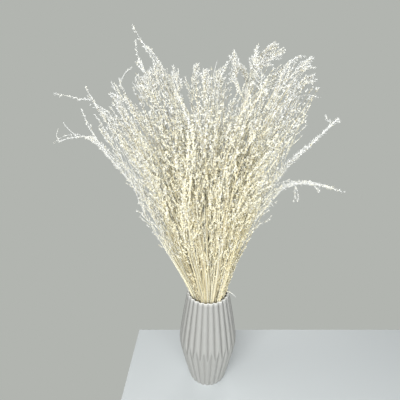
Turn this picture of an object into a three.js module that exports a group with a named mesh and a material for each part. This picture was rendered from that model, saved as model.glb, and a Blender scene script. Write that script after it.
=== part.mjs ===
// Vase of dried star grass: a pleated ceramic vase holding a fan of feathery dried sprays.
// Millimetres, +Z up. The origin is the middle of the vase's foot, on the surface it stands on.
// The front is the -Y side. Seen from there the fan is wide, shallow and fuller on its left.
import * as THREE from "three";

// Vase: two pleated cones that meet at the waist, with radii taken on the ridges
const VASE_HEIGHT = 200;
const WAIST_HEIGHT = 94;
const FOOT_RADIUS = 37;
const WAIST_RADIUS = 58;
const RIM_RADIUS = 40;
const BELLY = 0.8;
const PLEATS = 24;
const PLEAT_DEPTHS = { foot: 1.8, waist: 3.8, rim: 3 };
const PLEAT_TURN = THREE.MathUtils.degToRad(8.8);
const COLUMNS_PER_PLEAT = 4;
const CREASE_SWING = 12.2;
const CREASE_ROUNDING = 0.8;
const WALL = 3.4;
const INNER_PLEAT_SHARE = 0.8;
const FLOOR = 6;

// Bunch: stems packed side by side in the neck, then fanned out
const SPRAYS = 58;
const SEED = 7;
const GOLDEN_ANGLE = Math.PI * (3 - Math.sqrt(5));
const SPIRAL_TURN = 0.45;
const FLOOR_GAP = 0.3;
const NECK_RADIUS = 29.5;
const STEM_LENGTH = 400;
const LENGTH_SPREAD = 0.15;
const LONG_SHARE = 0.75;
const OUTER_SHORTER = 0.05;
const HALFWAY_TALLER = { left: 0, right: 0.09 };
const BEND_HEIGHT = 203;
const BEND_ROUNDING = 9;
const LEAN = { left: 0.52, right: 0.345, front: 0.24, back: 0.2 };
const BOW = { left: -4, right: -6, front: 14, back: 10 };
const TUCK = { left: 14, right: 2, front: 0, back: 0 };
const NOD = { left: -14, right: 34 };
const WANDER = 8;

// Spray: a slim rod of bare stems below, a plume of spikes above
const SIDES = 4;
const STEM_HEIGHTS = [FLOOR + FLOOR_GAP, 168, 190, 203, 218, 240];
const STEM_RADIUS = 3.2;
const STEM_GROOVE = 2.2;
const PLUME_START = 262;
const PLUME_RINGS = 28;
const END_CROWDING = 0.1;
const PLUME_RADIUS = 10.5;
const PLUME_ROOT = 0.4;
const PLUME_SWELL = 1.5;
const CORE_SHARE = 0.24;
const LEAST_SPIKE = 0.65;
const SPIKE_RISE = 1.3;
const RING_TWIST = 0.4;
const TIP_RADIUS = 0.8;
const NEIGHBOUR_SHARE = 0.46;

// Sprays that stray out of the fan: from what part of its length each one leaves, and what it passes
const STRAY_SLIMNESS = 0.55;
const LEAD_IN = 0.12;
const LOOK_AHEAD = 0.1;
const STRAYS = [
  { from: 0.66, through: [[-75, 0, 596], [-99, 0, 628], [-116, 2, 657]] },
  { from: 0.62, through: [[-97, -6, 580], [-106, -6, 606], [-109, -6, 634]] },
  { from: 0.55, through: [[-170, 6, 534], [-205, 6, 551], [-246, 4, 560]] },
  { from: 0.55, through: [[-151, -8, 512], [-172, -10, 540], [-188, -12, 571]] },
  { from: 0.5, through: [[-172, 10, 468], [-205, 10, 492], [-252, 8, 484]] },
  { from: 0.58, through: [[-140, 14, 540], [-160, 16, 562]] },
  { from: 0.5, through: [[-152, -14, 452], [-192, -20, 520]] },
  { from: 0.42, through: [[119, -4, 436], [158, -6, 479], [204, -8, 527]] },
  { from: 0.36, through: [[96, -6, 382], [124, -8, 412], [158, -10, 420], [193, -12, 413], [230, -12, 402]] },
  { from: 0.62, through: [[128, 9, 552], [142, 9, 590], [166, 9, 597]] },
  { from: 0.55, through: [[109, 16, 530], [149, 18, 556], [178, 20, 552]] },
  { from: 0.72, through: [[66, 6, 594], [106, 8, 628]] },
  { from: 0.7, through: [[100, -10, 566], [117, -12, 604], [138, -12, 610]] },
  { from: 0.72, through: [[12, 0, 572], [34, -2, 614]] },
  { from: 0.7, through: [[60, 14, 570], [80, 16, 604]] },
  { from: 0.5, through: [[-24, -128, 500], [-40, -158, 560]] },
  { from: 0.5, through: [[24, 116, 520], [36, 138, 584]] },
];

const STRAW = new THREE.Color().setRGB(0.72, 0.62, 0.4);
const CREAM = new THREE.Color().setRGB(0.86, 0.82, 0.68);
const CERAMIC = new THREE.Color().setRGB(0.52, 0.52, 0.5);

/** A number from 0 to 1 for the given item and purpose, always the same one. */
function draw(item, purpose) {
  const wave = Math.sin(item * 12.9898 + purpose * 78.233 + SEED) * 43758.5453;
  return wave - Math.floor(wave);
}

/** How far an angle lies from its pleat's ridge: 0 on the ridge, 1 in the groove, in a straight line. */
function offRidge(angle) {
  const pleats = (PLEATS * angle) / (2 * Math.PI);
  return 2 * Math.abs(pleats - Math.round(pleats));
}

/** Radius of one cone at a share of the way from the waist to its end: a round ridge, a sharp groove. */
function coneRadius(share, endRadius, endDepth, angle) {
  const ridge = WAIST_RADIUS + (endRadius - WAIST_RADIUS) * share + 4 * BELLY * share * (1 - share);
  const depth = PLEAT_DEPTHS.waist + (endDepth - PLEAT_DEPTHS.waist) * share;
  return ridge - depth * offRidge(angle) ** 2;
}

/** Outer radius of the vase: the upper pleated cone or the lower one, whichever lies further in. */
function outerRadius(angle, height) {
  const above = (height - WAIST_HEIGHT) / (VASE_HEIGHT - WAIST_HEIGHT);
  const below = (WAIST_HEIGHT - height) / WAIST_HEIGHT;
  const upper = coneRadius(above, RIM_RADIUS, PLEAT_DEPTHS.rim, angle);
  const lower = coneRadius(below, FOOT_RADIUS, PLEAT_DEPTHS.foot, angle + Math.PI / PLEATS);
  return (upper + lower - Math.hypot(upper - lower, CREASE_ROUNDING)) / 2;
}

/** Inner radius of the vase: the pleats show inside too, but shallower. */
function innerRadius(angle, height) {
  const ridge = outerRadius(0, height);
  return ridge - WALL + INNER_PLEAT_SHARE * (outerRadius(angle, height) - ridge);
}

/** Height at which the two cones cross at this angle, on the straight zigzag round the waist. */
function creaseHeight(angle) {
  return WAIST_HEIGHT + CREASE_SWING * (1 - 2 * offRidge(angle));
}

/** The vase: a lathe turned from the middle of the foot, up the outside and down the inside. */
function vaseGeometry() {
  const axis = () => 0;
  const levels = [
    { radius: axis, height: () => 0 },
    { radius: outerRadius, height: () => 0 },
    { radius: outerRadius, height: (angle) => creaseHeight(angle) / 2 },
    { radius: outerRadius, height: creaseHeight },
    { radius: outerRadius, height: (angle) => (creaseHeight(angle) + VASE_HEIGHT) / 2 },
    { radius: outerRadius, height: () => VASE_HEIGHT },
    { radius: innerRadius, height: () => VASE_HEIGHT },
    { radius: innerRadius, height: () => WAIST_HEIGHT },
    { radius: innerRadius, height: () => FLOOR },
    { radius: axis, height: () => FLOOR },
  ];
  const columns = COLUMNS_PER_PLEAT * PLEATS;
  const profile = levels.map(({ radius, height }) => new THREE.Vector2(radius(0, height(0)), height(0)));
  const geometry = new THREE.LatheGeometry(profile, columns);
  const corners = geometry.attributes.position;
  for (let i = 0; i < corners.count; i += 1) {
    const { radius, height } = levels[i % levels.length];
    const column = Math.floor(i / levels.length) % columns;
    const angle = (column / columns) * 2 * Math.PI;
    const z = height(angle);
    const r = radius(angle, z);
    corners.setXYZ(i, r * Math.cos(angle), r * Math.sin(angle), z);
  }
  return geometry;
}

/** Where a spray stands in the neck: in a unit disc filled evenly by a sunflower spiral. */
function discPlace(k) {
  const radius = Math.sqrt((k + 0.5) / SPRAYS);
  const angle = k * GOLDEN_ANGLE + SPIRAL_TURN;
  return { x: radius * Math.cos(angle), y: radius * Math.sin(angle) };
}

/**
 * One spray's course: upright in the vase, and leaning away from the middle above it. Sprays halfway
 * between the middle and a side of the fan may be taller, and nod outwards at their tips.
 */
function makeSpray(k) {
  const disc = discPlace(k);
  const side = disc.x < 0 ? "left" : "right";
  const depth = disc.y < 0 ? "front" : "back";
  const halfway = 4 * Math.abs(disc.x) * (1 - Math.abs(disc.x));
  const slope = { x: disc.x * LEAN[side], y: disc.y * LEAN[depth] };
  const bow = { x: disc.x * BOW[side], y: disc.y * BOW[depth] };
  const tuck = { x: disc.x * TUCK[side], y: disc.y * TUCK[depth] };
  const nod = NOD[side] * halfway;
  const shorter = 1 - OUTER_SHORTER * (disc.x ** 2 + disc.y ** 2);
  const taller = 1 + HALFWAY_TALLER[side] * halfway;
  const length = STEM_LENGTH * shorter * taller * (1 + LENGTH_SPREAD * (draw(k, 1) - LONG_SHARE));
  const rise = length / Math.hypot(1, slope.x, slope.y);
  return { k, disc, slope, bow, tuck, nod, rise, stray: null };
}

/**
 * The point of a spray's course in the fan at a share of its rise above the rim, negative in the vase:
 * a slope from the bend upwards, a bow that grows with the share's square, a tuck that draws it in
 * halfway up, a nod sideways near its tip, and a slow sway.
 */
function fanPoint({ k, disc, slope, bow, tuck, nod, rise }, share) {
  const height = VASE_HEIGHT + share * rise;
  const above = height - BEND_HEIGHT;
  const ramp = (above + Math.hypot(above, BEND_ROUNDING)) / 2;
  const free = Math.max(share, 0);
  const half = 4 * free ** 2 * (1 - free ** 2);
  const sway = WANDER * free * Math.sin(2 * Math.PI * (free + draw(k, 2)));
  const swing = WANDER * free * Math.sin(2 * Math.PI * (free + draw(k, 3)));
  const x = NECK_RADIUS * disc.x + slope.x * ramp + bow.x * free ** 2 - tuck.x * half + sway;
  const y = NECK_RADIUS * disc.y + slope.y * ramp + bow.y * free ** 2 - tuck.y * half + swing;
  return new THREE.Vector3(x + nod * free ** 4, y, height);
}

/** The point of a spray's middle line: in the fan, or on its stray's curve once it has left the fan. */
function pointAt(spray, share) {
  const { stray } = spray;
  if (!stray || share <= stray.from) return fanPoint(spray, share);
  const spans = stray.curve.points.length - 3;
  const part = (share - stray.from) / (1 - stray.from);
  return stray.curve.getPoint((1 + part * spans) / (spans + 2));
}

/** A stray: a smooth curve from the fan through its points, with one more knot at each end to steer it. */
function makeStray(spray, { from, through }) {
  const passed = through.map((place) => new THREE.Vector3(...place));
  const [beforeTip, tip] = passed.slice(-2);
  const beyond = tip.clone().multiplyScalar(2).sub(beforeTip);
  const knots = [fanPoint(spray, from - LEAD_IN), fanPoint(spray, from), ...passed, beyond];
  return { from, curve: new THREE.CatmullRomCurve3(knots, false, "catmullrom", 0.5) };
}

/** All sprays. Each stray is given to the spray of the fan that comes nearest to its first point. */
function makeBunch() {
  const sprays = Array.from({ length: SPRAYS }, (_, k) => makeSpray(k));
  for (const stray of STRAYS) {
    const first = new THREE.Vector3(...stray.through[0]);
    const distance = (spray) => fanPoint(spray, stray.from + LOOK_AHEAD).distanceTo(first);
    const inFan = sprays.filter((spray) => !spray.stray);
    inFan.sort((a, b) => distance(a) - distance(b));
    inFan[0].stray = makeStray(inFan[0], stray);
  }
  return sprays;
}

/** The shares of its rise at which a spray has its rings of corners, from its foot to its tip. */
function ringShares(spray) {
  const shareOf = (height) => (height - VASE_HEIGHT) / spray.rise;
  const start = shareOf(PLUME_START);
  const plume = Array.from({ length: PLUME_RINGS }, (_, i) => {
    const part = i / (PLUME_RINGS - 1);
    return start + (1 - start) * part * (1 + END_CROWDING * (1 - part));
  });
  return [...STEM_HEIGHTS.map(shareOf), ...plume];
}

/** Points along every spray's middle line, for finding how near the neighbours come. */
function middleLines(sprays) {
  const samples = 160;
  return sprays.map((spray) => {
    const foot = (FLOOR - VASE_HEIGHT) / spray.rise;
    return Array.from({ length: samples + 1 }, (_, i) => pointAt(spray, foot + ((1 - foot) * i) / samples));
  });
}

/** The most that a spray may reach from this point of it without meeting a neighbour. */
function roomAt(point, spray, lines) {
  let nearest = Infinity;
  lines.forEach((line, k) => {
    if (k === spray.k) return;
    for (const sample of line) nearest = Math.min(nearest, sample.distanceTo(point));
  });
  return NEIGHBOUR_SHARE * nearest;
}

/** One ring of a spray: its point, its directions, and the radii of its valleys and its spikes. */
function makeRing(spray, lines, share, i) {
  const point = pointAt(spray, share);
  const azimuth = Math.atan2(spray.disc.y, spray.disc.x);
  const round = new THREE.Vector3(-Math.sin(azimuth), Math.cos(azimuth), 0);
  const along = pointAt(spray, share + 0.01).sub(pointAt(spray, share - 0.01)).normalize();
  const across = round.addScaledVector(along, -round.dot(along)).normalize();
  const out = across.clone().cross(along);
  const room = roomAt(point, spray, lines);
  const step = i - STEM_HEIGHTS.length;
  if (step < 0) {
    const valley = Math.min(STEM_GROOVE, room);
    return { point, along, across, out, valley, spike: Math.min(STEM_RADIUS, room), least: 1, twist: 0 };
  }
  const part = step / (PLUME_RINGS - 1);
  const slimness = spray.stray && share > spray.stray.from ? STRAY_SLIMNESS : 1;
  const full = PLUME_RADIUS * slimness * Math.min(1, PLUME_ROOT + PLUME_SWELL * part);
  const spike = Math.min(full * Math.sqrt(1 - part ** 4), room);
  const valley = Math.max(CORE_SHARE * spike, TIP_RADIUS);
  return { point, along, across, out, valley, spike, least: LEAST_SPIKE, twist: RING_TWIST * step };
}

/** Turns each quad whose diagonal joins two spikes, so that every spike is a peak of its own. */
function separateSpikes(geometry, quads, isSpike) {
  const index = geometry.index.array;
  for (let q = 0; q < quads; q += 1) {
    const [a, b, d, , c] = index.slice(6 * q, 6 * q + 5);
    if (isSpike(b)) index.set([a, b, c, a, c, d], 6 * q);
  }
}

/** One spray: a four-sided rod along its middle line, every other corner drawn out and up. */
function sprayGeometry(spray, lines) {
  const rings = ringShares(spray).map((share, i) => makeRing(spray, lines, share, i));
  const spans = rings.length - 1;
  const geometry = new THREE.CylinderGeometry(1, 1, 1, SIDES, spans);
  const corners = geometry.attributes.position;
  const rod = corners.clone();
  const ringOf = (i) => Math.round((rod.getY(i) + 0.5) * spans);
  const turnOf = (i) => Math.atan2(rod.getX(i), rod.getZ(i)) / (2 * Math.PI);
  const sideOf = (i) => Math.round(turnOf(i) * SIDES + SIDES) % SIDES;
  const isSpike = (i) => (ringOf(i) + sideOf(i)) % 2 === 1;
  const isMiddle = (i) => Math.hypot(rod.getX(i), rod.getZ(i)) < 0.5;
  separateSpikes(geometry, spans * SIDES, isSpike);

  for (let i = 0; i < corners.count; i += 1) {
    const ring = rings[ringOf(i)];
    const corner = ring.point.clone();
    if (!isMiddle(i)) {
      const chance = draw(1000 * spray.k + SIDES * ringOf(i) + sideOf(i), 4);
      const variety = ring.least + (1 - ring.least) * chance;
      const radius = isSpike(i) ? Math.max(ring.spike * variety, ring.valley) : ring.valley;
      const angle = (sideOf(i) / SIDES) * 2 * Math.PI + ring.twist;
      corner.addScaledVector(ring.across, radius * Math.sin(angle));
      corner.addScaledVector(ring.out, radius * Math.cos(angle));
      corner.addScaledVector(ring.along, SPIKE_RISE * (radius - ring.valley));
    }
    corners.setXYZ(i, corner.x, corner.y, corner.z);
  }
  return geometry;
}

/** Dried grass, straw-coloured in the middle of the bunch and paler towards its outside. */
function grassMaterial(spray) {
  const color = STRAW.clone().lerp(CREAM, Math.hypot(spray.disc.x, spray.disc.y));
  return new THREE.MeshStandardMaterial({ color, roughness: 0.9, metalness: 0 });
}

/** Matt light grey ceramic. */
function ceramicMaterial() {
  return new THREE.MeshStandardMaterial({ color: CERAMIC, roughness: 0.7, metalness: 0 });
}

function makeVase() {
  const vase = new THREE.Mesh(vaseGeometry(), ceramicMaterial());
  vase.name = "vase";
  vase.rotation.z = -PLEAT_TURN;
  return vase;
}

function makeSprays() {
  const sprays = makeBunch();
  const lines = middleLines(sprays);
  return sprays.map((spray) => {
    const mesh = new THREE.Mesh(sprayGeometry(spray, lines), grassMaterial(spray));
    mesh.name = `spray_${String(spray.k + 1).padStart(2, "0")}`;
    return mesh;
  });
}

const vaseOfStarGrass = new THREE.Group();
vaseOfStarGrass.add(makeVase(), ...makeSprays());

export default vaseOfStarGrass;
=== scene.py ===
# %% [markdown]
# # A vase of dried star grass
#
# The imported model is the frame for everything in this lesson. It holds a pleated vase and a bunch of
# sprays, each a slim rod with coarse spikes that keeps the place of many thin stems. The vase and every
# spray get a finer piece here, worked out by the same rule, so each piece stays where its solid is.
# All lengths are in metres. The front is the -Y side.

import math

import bpy
import numpy as np
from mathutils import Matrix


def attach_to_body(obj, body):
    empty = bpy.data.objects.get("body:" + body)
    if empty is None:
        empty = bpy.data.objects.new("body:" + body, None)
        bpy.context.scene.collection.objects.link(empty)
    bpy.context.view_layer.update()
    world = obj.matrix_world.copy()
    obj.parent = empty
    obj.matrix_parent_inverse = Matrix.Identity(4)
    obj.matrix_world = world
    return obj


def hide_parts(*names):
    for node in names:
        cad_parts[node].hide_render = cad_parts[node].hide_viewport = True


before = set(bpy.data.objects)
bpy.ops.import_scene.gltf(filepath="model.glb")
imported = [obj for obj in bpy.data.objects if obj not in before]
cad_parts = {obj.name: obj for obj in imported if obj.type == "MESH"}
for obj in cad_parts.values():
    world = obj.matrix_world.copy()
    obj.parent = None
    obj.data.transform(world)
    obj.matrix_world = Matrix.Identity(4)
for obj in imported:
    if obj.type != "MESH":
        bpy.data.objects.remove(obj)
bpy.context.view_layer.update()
spray_nodes = sorted(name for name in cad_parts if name.startswith("spray_"))
MM = 0.001
print("sprays:", len(spray_nodes))

# %% [markdown]
# ## Camera
#
# The vase was photographed from close by and from above its rim, with a wide lens. A camera is a point,
# a direction and an angle of view, so three values put it there. The lens is given in pixels of a square
# picture and turned into millimetres of Blender's own sensor.

# %% Camera
PICTURE_SIDE = 400
FOCAL_PIXELS = 300
SENSOR_WIDTH = 36
CAMERA_PLACE = (-15.7 * MM, -489 * MM, 555 * MM)
CAMERA_PITCH = math.radians(19.1)

scene = bpy.context.scene
camera = bpy.data.objects.new("camera", bpy.data.cameras.new("camera"))
camera.data.sensor_width = SENSOR_WIDTH
camera.data.lens = SENSOR_WIDTH * FOCAL_PIXELS / PICTURE_SIDE
camera.location = CAMERA_PLACE
camera.rotation_euler = (math.pi / 2 - CAMERA_PITCH, 0, 0)
scene.collection.objects.link(camera)
scene.camera = camera
print("lens:", camera.data.lens, "mm")

# %% [markdown]
# ## Shader maths as Python
#
# A material is a tree of nodes. Wiring it by hand hides the formula, so a small class wraps one output
# socket, and the usual signs between such wires add the Math nodes. Every other node comes from one
# method that sets the node's own settings first and then its sockets. The Mix node has several sockets
# of one name, so its colour sockets are wired by number.

# %% A wire of a shader tree
MIX_SHARE, MIX_FIRST, MIX_SECOND, MIX_RESULT = 0, 6, 7, 2


class Wire:
    """One output socket. Signs between wires, or between a wire and a number, add Math nodes."""

    def __init__(self, tree, socket=None):
        self.tree = tree
        self.socket = socket

    def node(self, kind, settings=None, inputs=None, output=0):
        """Adds a node: its settings, its ramp's stops, then the values or wires of its sockets."""
        made = self.tree.nodes.new(kind)
        for name, value in (settings or {}).items():
            if name == "stops":
                self.set_stops(made.color_ramp, value)
            else:
                setattr(made, name, value)
        for name, value in (inputs or {}).items():
            if isinstance(value, Wire):
                self.tree.links.new(value.socket, made.inputs[name])
            else:
                made.inputs[name].default_value = value
        return Wire(self.tree, made.outputs[output])

    @staticmethod
    def set_stops(ramp, stops):
        """Gives a colour ramp these (place, colour) stops."""
        while len(ramp.elements) < len(stops):
            ramp.elements.new(1)
        for element, (place, colour) in zip(ramp.elements, stops):
            element.position = place
            element.color = (*colour, 1)

    def maths(self, operation, a, b):
        return self.node("ShaderNodeMath", {"operation": operation}, {0: a, 1: b})

    def __add__(self, other):
        return self.maths("ADD", self, other)

    def __sub__(self, other):
        return self.maths("SUBTRACT", self, other)

    def __mul__(self, other):
        return self.maths("MULTIPLY", self, other)

    __radd__ = __add__
    __rmul__ = __mul__

    def mix(self, low, high):
        """A colour between two colours, this wire being the share of the second."""
        sockets = {MIX_SHARE: self, MIX_FIRST: low, MIX_SECOND: high}
        return self.node("ShaderNodeMix", {"data_type": "RGBA"}, sockets, MIX_RESULT)

    def ramp(self, stops):
        """A colour read off a ramp with these stops, at this wire's value."""
        return self.node("ShaderNodeValToRGB", {"stops": stops}, {"Fac": self})


def new_material(name, colour):
    """A material with its shader, and a wire from which its tree grows."""
    material = bpy.data.materials.new(name)
    material.use_nodes = True
    material.diffuse_color = (*colour, 1)
    shader = material.node_tree.nodes["Principled BSDF"]
    return material, shader, Wire(material.node_tree)


def feed(shader, socket, wire):
    """Links a wire to a socket of the shader."""
    wire.tree.links.new(wire.socket, shader.inputs[socket])


print("shader class ready")

# %% [markdown]
# ## Floor and light
#
# The vase stands near the back edge of a pale table. A thin slab is enough, and it isn't part of the
# object. The light is plain and soft: one large lamp high in front on the left, a weaker one low on the
# right, and two weak ones at the left side and behind it. A studio lights its backdrop apart from the
# object, so the surround looks light grey to the camera but sheds less light than that, which keeps the
# depth of the bunch dark.

# %% Floor
FLOOR_LOW = (-168 * MM, -1.4, -20 * MM)
FLOOR_HIGH = (1.3, 117 * MM, 0)
FLOOR_COLOUR = (0.55, 0.582, 0.592)
FLOOR_ROUGHNESS = 0.5


def block(name, low, high):
    """A plain block between two corners."""
    corners = np.array([[x, y, z] for x in (0, 1) for y in (0, 1) for z in (0, 1)])
    points = np.array(low) + corners * (np.array(high) - np.array(low))
    faces = [(0, 1, 3, 2), (4, 6, 7, 5), (0, 4, 5, 1), (2, 3, 7, 6), (0, 2, 6, 4), (1, 5, 7, 3)]
    mesh = bpy.data.meshes.new(name)
    mesh.from_pydata(points.tolist(), [], faces)
    made = bpy.data.objects.new(name, mesh)
    scene.collection.objects.link(made)
    return made


table = block("table", FLOOR_LOW, FLOOR_HIGH)
pale, pale_shader, _ = new_material("pale_floor", FLOOR_COLOUR)
pale_shader.inputs["Base Color"].default_value = (*FLOOR_COLOUR, 1)
pale_shader.inputs["Roughness"].default_value = FLOOR_ROUGHNESS
table.data.materials.append(pale)
print("floor laid, back edge at", FLOOR_HIGH[1])

# %% Surround and lamps
SURROUND = (0.445, 0.462, 0.434)
SHED_LIGHT = 0.3
LAMP_SIDE = 1.2
LAMPS = {
    "key": {"place": (-0.5, -1.5, 1.25), "aim": (0, 0, 0.35), "watts": 40},
    "fill": {"place": (0.5, -1.7, 0.6), "aim": (0, 0, 0.3), "watts": 28},
    "side": {"place": (-1.6, -0.4, 0.6), "aim": (0, 0, 0.3), "watts": 10},
    "back": {"place": (0.5, 1.7, 0.5), "aim": (0, 0, 0.3), "watts": 18},
}

world = bpy.data.worlds.new("surround")
world.use_nodes = True
backdrop = world.node_tree.nodes["Background"]
backdrop.inputs["Color"].default_value = (*SURROUND, 1)
seen = Wire(world.node_tree).node("ShaderNodeLightPath")
feed(backdrop, "Strength", SHED_LIGHT + (1 - SHED_LIGHT) * seen)
scene.world = world
scene.view_settings.view_transform = "Standard"


def add_lamp(name, place, aim, watts):
    """A square soft lamp at a place, turned towards an aim."""
    lamp = bpy.data.objects.new(name, bpy.data.lights.new(name, "AREA"))
    lamp.data.size = LAMP_SIDE
    lamp.data.energy = watts
    lamp.location = place
    towards = np.array(aim) - np.array(place)
    heading = math.atan2(towards[1], towards[0]) - math.pi / 2
    lift = math.atan2(towards[2], math.hypot(towards[0], towards[1]))
    lamp.rotation_euler = (math.pi / 2 + lift, 0, heading)
    scene.collection.objects.link(lamp)


for name, lamp in LAMPS.items():
    add_lamp(name, **lamp)
print("lamps:", list(LAMPS))

# %% [markdown]
# ## Vase
#
# The real vase is thrown or cast in one piece of matt ceramic, with its wall folded into upright pleats
# that change places at the waist. One formula gives the radius for any angle and height: two pleated
# cones, whichever lies further in. Each pleat has a round ridge and a sharp groove. The surface is a
# grid of that formula, with far more columns than the solid has, a rounded rim, and rows that follow
# the zigzag where the cones meet.

# %% Vase: radius by angle and height
VASE_HEIGHT = 200 * MM
WAIST_HEIGHT = 94 * MM
FOOT_RADIUS = 37 * MM
WAIST_RADIUS = 58 * MM
RIM_RADIUS = 40 * MM
BELLY = 0.8 * MM
PLEATS = 24
PLEAT_DEPTHS = {"foot": 1.8 * MM, "waist": 3.8 * MM, "rim": 3 * MM}
PLEAT_TURN = math.radians(8.8)
CREASE_SWING = 12.2 * MM
CREASE_ROUNDING = 0.8 * MM
WALL = 3.4 * MM
INNER_PLEAT_SHARE = 0.8
FLOOR = 6 * MM


def off_ridge(angle):
    """How far an angle lies from its pleat's ridge: 0 on the ridge, 1 in the groove."""
    pleats = PLEATS * angle / (2 * np.pi)
    return 2 * np.abs(pleats - np.round(pleats))


def cone_radius(share, end_radius, end_depth, angle):
    """A cone's radius from waist (share 0) to end (1), less a depth times the square off the ridge."""
    ridge = WAIST_RADIUS + (end_radius - WAIST_RADIUS) * share + 4 * BELLY * share * (1 - share)
    depth = PLEAT_DEPTHS["waist"] + (end_depth - PLEAT_DEPTHS["waist"]) * share
    return ridge - depth * off_ridge(angle) ** 2


def outer_radius(angle, height):
    """The smaller of the two pleated cones' radii, rounded where they meet."""
    above = (height - WAIST_HEIGHT) / (VASE_HEIGHT - WAIST_HEIGHT)
    below = (WAIST_HEIGHT - height) / WAIST_HEIGHT
    upper = cone_radius(above, RIM_RADIUS, PLEAT_DEPTHS["rim"], angle)
    lower = cone_radius(below, FOOT_RADIUS, PLEAT_DEPTHS["foot"], angle + np.pi / PLEATS)
    return (upper + lower - np.hypot(upper - lower, CREASE_ROUNDING)) / 2


def inner_radius(angle, height):
    """The ridge's radius less the wall, with the pleats shallower than outside."""
    ridge = outer_radius(np.zeros_like(angle), height)
    return ridge - WALL + INNER_PLEAT_SHARE * (outer_radius(angle, height) - ridge)


def crease_height(angle):
    """Height where the two cones cross: a straight zigzag round the waist."""
    return WAIST_HEIGHT + CREASE_SWING * (1 - 2 * off_ridge(angle))


print("ridge at rim:", float(outer_radius(np.zeros(1), VASE_HEIGHT)[0]))

# %% Vase: the grid, from the middle of the foot up the outside and down the inside
COLUMNS_PER_PLEAT = 12
ROWS_PER_HALF = 21
INNER_ROWS = 12
ROUNDING_ROWS = 7
FOOT_ROUNDING = 1.2 * MM


def vase_rows(angle):
    """Rows of (radius, height) arrays: foot, outside, rim rounded by a half circle, inside, floor."""
    crease = crease_height(angle)
    flat = np.zeros_like(angle)
    rows = []
    for turn in np.linspace(0, np.pi / 2, ROUNDING_ROWS):
        height = FOOT_ROUNDING * (1 - np.cos(turn)) + flat
        rows.append((outer_radius(angle, height) - FOOT_ROUNDING * (1 - np.sin(turn)), height))
    for part in np.linspace(0, 1, ROWS_PER_HALF)[1:]:
        height = FOOT_ROUNDING + (crease - FOOT_ROUNDING) * part
        rows.append((outer_radius(angle, height), height))
    rim_base = VASE_HEIGHT - WALL / 2
    for part in np.linspace(0, 1, ROWS_PER_HALF)[1:-1]:
        height = crease + (rim_base - crease) * part
        rows.append((outer_radius(angle, height), height))
    outside, inside = outer_radius(angle, rim_base + flat), inner_radius(angle, rim_base + flat)
    for turn in np.linspace(0, np.pi, 2 * ROUNDING_ROWS):
        middle, half = (outside + inside) / 2, (outside - inside) / 2
        rows.append((middle + half * np.cos(turn), rim_base + WALL / 2 * np.sin(turn) + flat))
    for part in np.linspace(0, 1, INNER_ROWS)[1:]:
        height = rim_base + (FLOOR - rim_base) * part + flat
        rows.append((inner_radius(angle, height), height))
    return rows


def grid_faces(rows, columns):
    """Quads of a grid that closes round its columns, wound so that they face out of the lathe."""
    row, column = np.meshgrid(np.arange(rows - 1), np.arange(columns), indexing="ij")
    beside = (column + 1) % columns
    corners = [row * columns + column, row * columns + beside, (row + 1) * columns + beside]
    return np.stack([*corners, (row + 1) * columns + column], axis=-1).reshape(-1, 4)


def fan_faces(pole, ring):
    """Triangles from a pole to each edge of a ring of corners."""
    return np.stack([np.full(len(ring), pole), ring, np.roll(ring, -1)], axis=-1)


vase_angles = np.arange(COLUMNS_PER_PLEAT * PLEATS) / (COLUMNS_PER_PLEAT * PLEATS) * 2 * np.pi
vase_radii, vase_heights = (np.array(part) for part in zip(*vase_rows(vase_angles)))
turned = vase_angles - PLEAT_TURN
vase_grid = np.stack([vase_radii * np.cos(turned), vase_radii * np.sin(turned), vase_heights], axis=-1)
print("vase grid:", vase_grid.shape)

# %% [markdown]
# ## From arrays to pieces
#
# `from_pydata` is slow for a million corners, so the arrays go in with `foreach_set`: corners first,
# then one list of corner numbers and one of where each face starts. A value that varies over a piece,
# such as how bleached a floret is, is stored as an attribute that the material reads.

# %% Arrays to a piece
NO_QUADS = np.zeros((0, 4), int)


def make_piece(name, points, triangles, values, quads=NO_QUADS, smooth=False):
    """An object from corner, triangle and quad arrays, with named per-corner values."""
    mesh = bpy.data.meshes.new(name)
    loops = np.concatenate([np.ravel(quads), np.ravel(triangles)]).astype(np.int32)
    sizes = np.repeat([4, 3], [len(quads), len(triangles)])
    mesh.vertices.add(len(points))
    mesh.vertices.foreach_set("co", np.ravel(points).astype(np.float32))
    mesh.loops.add(len(loops))
    mesh.loops.foreach_set("vertex_index", loops)
    starts = np.concatenate([[0], np.cumsum(sizes)[:-1]])
    mesh.polygons.add(len(sizes))
    mesh.polygons.foreach_set("loop_start", starts.astype(np.int32))
    mesh.polygons.foreach_set("use_smooth", np.broadcast_to(smooth, len(sizes)).astype(bool))
    for value_name, value in values.items():
        attribute = mesh.attributes.new(value_name, "FLOAT", "POINT")
        attribute.data.foreach_set("value", value.astype(np.float32))
    mesh.update(calc_edges=True)
    mesh.validate()
    made = bpy.data.objects.new(name, mesh)
    scene.collection.objects.link(made)
    return made


def triangle_count(made):
    """Triangles of a piece: each face has two fewer than its corners."""
    return len(made.data.loops) - 2 * len(made.data.polygons)


print("piece maker ready")

# %% The vase as a piece
PALE_RIM = 2.2 * MM
LOW_GROOVE_SHARE = 0.85
POLE_GROOVE = 0.5

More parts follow.
